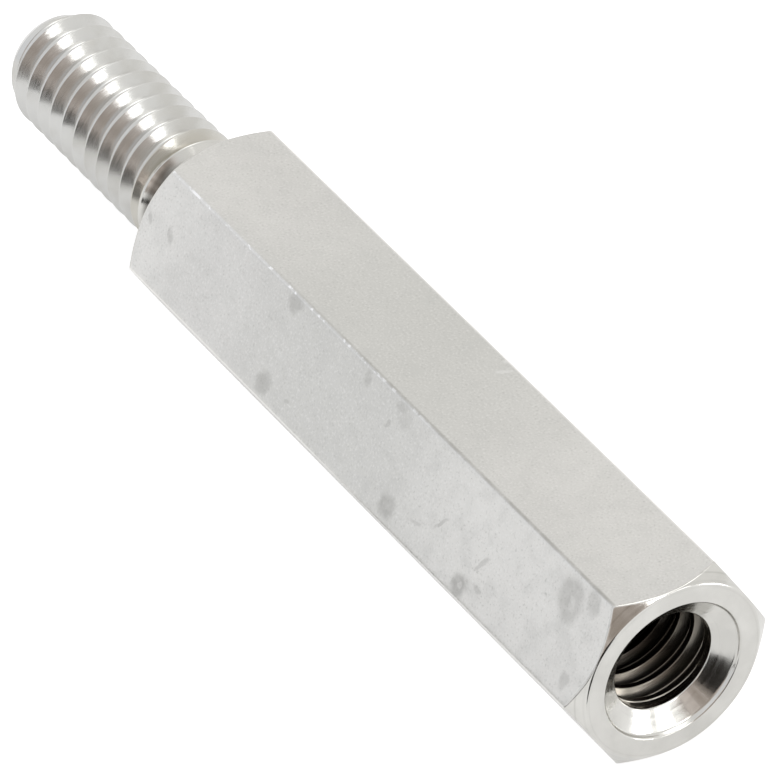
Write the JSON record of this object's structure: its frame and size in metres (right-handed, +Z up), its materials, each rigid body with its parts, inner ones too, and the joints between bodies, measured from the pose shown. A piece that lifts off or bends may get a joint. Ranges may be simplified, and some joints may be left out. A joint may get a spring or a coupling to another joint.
{
  "type": "hex standoff",
  "caption": "Male to female hexagonal standoff in bright plated metal: a threaded stud on one end and a blind tapped hole with a countersunk mouth in the other.",
  "frame": {"origin": "on the resting surface, under the middle of the overall length", "axes": "+X along the bar's axis towards the tapped end, +Z up out of the upper flat"},
  "size_m": [0.035, 0.0068, 0.006],
  "materials": {
    "nickel_plate": "bright nickel plating over turned brass"
  },
  "bodies": {
    "root": {"hex_standoff": "nickel_plate"}
  },
  "joints": []
}
